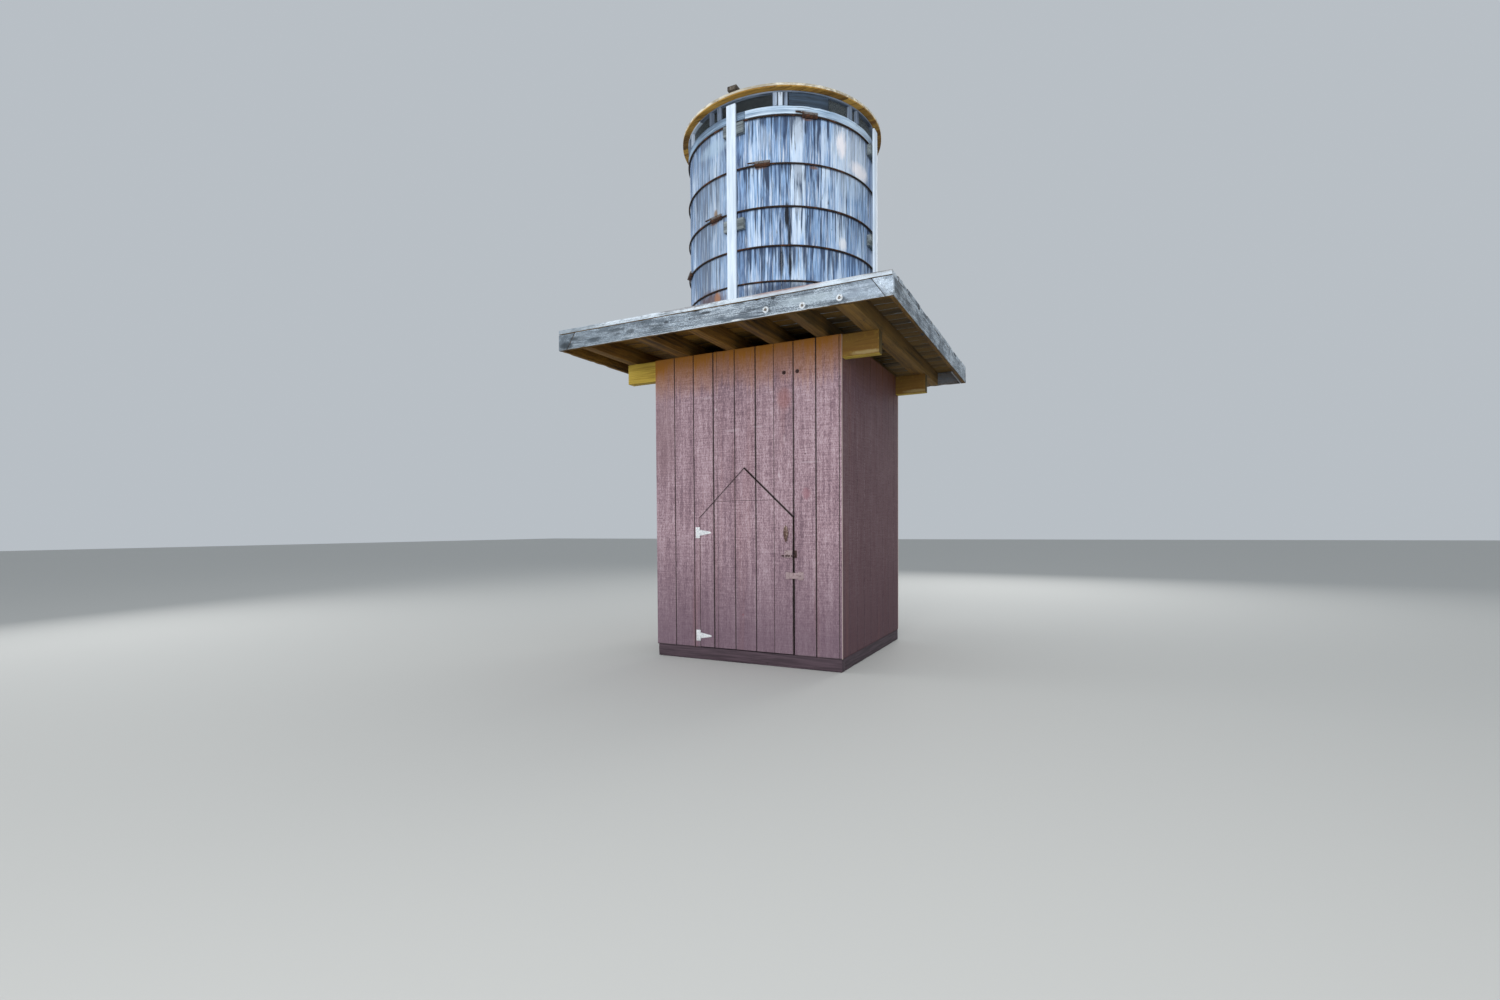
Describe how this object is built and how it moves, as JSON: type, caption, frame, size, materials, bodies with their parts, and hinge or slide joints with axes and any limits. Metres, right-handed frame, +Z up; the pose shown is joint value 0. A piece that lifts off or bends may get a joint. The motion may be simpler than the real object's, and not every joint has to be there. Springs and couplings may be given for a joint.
{
  "type": "water tower",
  "caption": "Timber water tower: a round stave tank with rod hoops and a flat cover, on a joisted platform over a small sided shed with a pointed door.",
  "frame": {"origin": "bottom centre of the bounding box, on the ground", "axes": "+Z up, the front with the door faces -Y, and +X is to the right seen from the front"},
  "size_m": [2.966, 3.06, 4.9263],
  "materials": {
    "painted_siding": "dusty red-brown stain on rough sawn grooved siding",
    "painted_sill": "dark maroon stain",
    "framing": "sawn softwood",
    "beam_timber": "bare yellow-brown timber",
    "joist_timber": "bare dark timber",
    "weathered_timber": "silver-grey weathered timber",
    "deck_boards": "grey weathered boards",
    "stave_wood": "blue-grey weathered staves with dark streaks",
    "rim_wood": "bleached bent strip",
    "vent_wood": "weathered blocks",
    "cover_wood": "brown boards with a bleached edge",
    "white_board": "white paint",
    "hoop_iron": "rusted rod",
    "zinc": "bright zinc",
    "old_iron": "rusty brown iron",
    "painted_iron": "painted over in the siding's colour",
    "screen_wire": "dark woven wire"
  },
  "bodies": {
    "tower": {"sill_frame": "painted_sill", "corner_post_front_left": "framing", "corner_post_front_right": "framing", "corner_post_back_left": "framing", "corner_post_back_right": "framing", "door_jambs": "framing", "tank_bearers": "framing", "tank_floor": "framing", "front_wall_left": "painted_siding", "front_wall_right": "painted_siding", "left_wall": "painted_siding", "right_wall": "painted_siding", "back_wall": "painted_siding", "header_beam_front": "beam_timber", "header_beam_back": "beam_timber", "joist_1": "joist_timber", "joist_2": "joist_timber", "joist_3": "joist_timber", "joist_4": "joist_timber", "joist_5": "joist_timber", "joist_6": "joist_timber", "fascia_front": "weathered_timber", "fascia_back": "weathered_timber", "rim_left": "weathered_timber", "rim_right": "weathered_timber", "cover_batten": "weathered_timber", "deck": "deck_boards", "staves_right_back": "stave_wood", "staves_left_back": "stave_wood", "staves_left_front": "stave_wood", "staves_right_front": "stave_wood", "hoop_1": "hoop_iron", "hoop_2": "hoop_iron", "hoop_3": "hoop_iron", "hoop_4": "hoop_iron", "hoop_5": "hoop_iron", "hoop_6": "hoop_iron", "rim_band": "rim_wood", "vent_frame": "vent_wood", "vent_screen": "screen_wire", "cover": "cover_wood", "tank_post_front": "white_board", "tank_post_right": "white_board", "tank_post_back": "white_board", "tank_post_left": "white_board", "hinge_plate_lower": "zinc", "hinge_plate_upper": "zinc", "bolt_keeper": "old_iron", "hasp_staple": "old_iron"},
    "door": {"door_sheet_lower": "painted_siding", "door_sheet_gable": "painted_siding", "door_backing": "framing", "hinge_strap_lower": "zinc", "hinge_strap_upper": "zinc", "pull_handle": "old_iron", "bolt_guide": "old_iron", "hasp_leaf": "painted_iron"},
    "latch_bolt": {"bolt_rod": "old_iron"},
    "hasp": {"hasp_strap": "painted_iron"}
  },
  "joints": [
    {"name": "door_hinge", "type": "hinge", "parent": "tower", "child": "door", "pos_m": [-0.465, -0.856, 0.8], "axis": [0, 0, -1], "range_deg": [0, 110]},
    {"name": "bolt_slide", "type": "slide", "parent": "door", "child": "latch_bolt", "axis": [1, 0, 0], "range_m": [0, 0.03]},
    {"name": "hasp_hinge", "type": "hinge", "parent": "door", "child": "hasp", "pos_m": [0.413, -0.856, 0.784], "axis": [0, 0, -1], "range_deg": [0, 160]}
  ]
}
